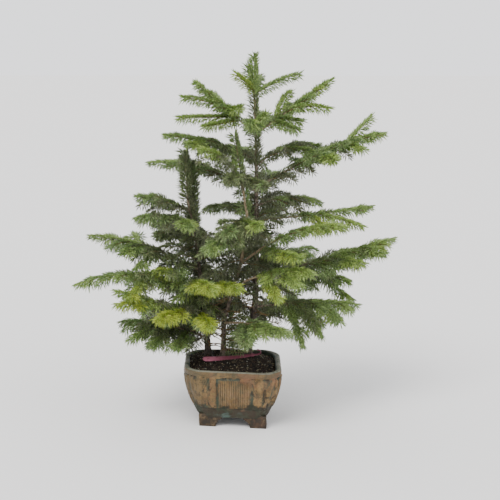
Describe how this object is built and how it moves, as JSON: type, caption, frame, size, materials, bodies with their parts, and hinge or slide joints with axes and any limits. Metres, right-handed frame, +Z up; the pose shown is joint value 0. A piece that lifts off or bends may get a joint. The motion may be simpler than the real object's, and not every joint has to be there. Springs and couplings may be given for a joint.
{
  "type": "potted spruce forest bonsai",
  "caption": "Young spruce forest bonsai: a slim tall trunk and two lesser ones with layered needled boughs, in a footed stoneware pot.",
  "frame": {"origin": "on the surface that the pot stands on, under the middle of the whole plant's bounding box", "axes": "+Z up, +X along the pot's long side to the right as the picture sees it, -Y towards the ribbed front of the pot"},
  "size_m": [0.4627, 0.3309, 0.5398],
  "materials": {
    "pot": "matte",
    "soil": "matte",
    "plant_tag": "satin",
    "bark": "matte",
    "needles_dark": "matte",
    "needles": "matte",
    "needles_bright": "matte"
  },
  "bodies": {
    "root": {"bough_left_3_left": "bark", "bough_left_6_left": "bark", "bough_middle_3_right": "bark", "bough_middle_4_left": "bark", "bough_middle_right_high": "bark", "bough_middle_right_mid": "bark", "bough_tall_2_left": "bark", "bough_tall_2_right": "bark", "bough_tall_4_left": "bark", "bough_tall_4_right": "bark", "bough_tall_5_side": "bark", "bough_tall_6_right": "bark", "bough_tall_7_left": "bark", "bough_tall_7_right": "bark", "foliage_left_1_left": "needles", "foliage_left_2_back": "needles_dark", "foliage_left_2_left": "needles_bright", "foliage_left_3_left": "needles", "foliage_left_5_left": "needles", "foliage_left_6_back": "needles_dark", "foliage_left_6_left": "needles", "foliage_left_top": "needles_dark", "foliage_left_twin": "needles_dark", "foliage_middle_1_left": "needles", "foliage_middle_2_front": "needles_bright", "foliage_middle_2_left": "needles_bright", "foliage_middle_3_left": "needles_bright", "foliage_middle_3_right": "needles_bright", "foliage_middle_4_left": "needles_bright", "foliage_middle_right_high": "needles_bright", "foliage_middle_right_mid": "needles_bright", "foliage_middle_top": "needles", "foliage_tall_2_back": "needles_dark", "foliage_tall_2_front": "needles_bright", "foliage_tall_2_left": "needles", "foliage_tall_2_right": "needles", "foliage_tall_3_back": "needles_dark", "foliage_tall_3_left": "needles", "foliage_tall_3_right": "needles", "foliage_tall_4_back": "needles_dark", "foliage_tall_4_front": "needles_bright", "foliage_tall_4_left": "needles", "foliage_tall_4_right": "needles", "foliage_tall_5_back": "needles_dark", "foliage_tall_5_left": "needles_dark", "foliage_tall_5_right": "needles", "foliage_tall_5_side": "needles", "foliage_tall_6_back": "needles_dark", "foliage_tall_6_right": "needles", "foliage_tall_7_back": "needles_dark", "foliage_tall_7_left": "needles_dark", "foliage_tall_7_right": "needles", "foliage_tall_7_upper": "needles", "foliage_tall_top": "needles", "plant_tag": "plant_tag", "pot": "pot", "soil": "soil", "trunk_left": "bark", "trunk_middle": "bark", "trunk_tall": "bark"}
  },
  "joints": []
}
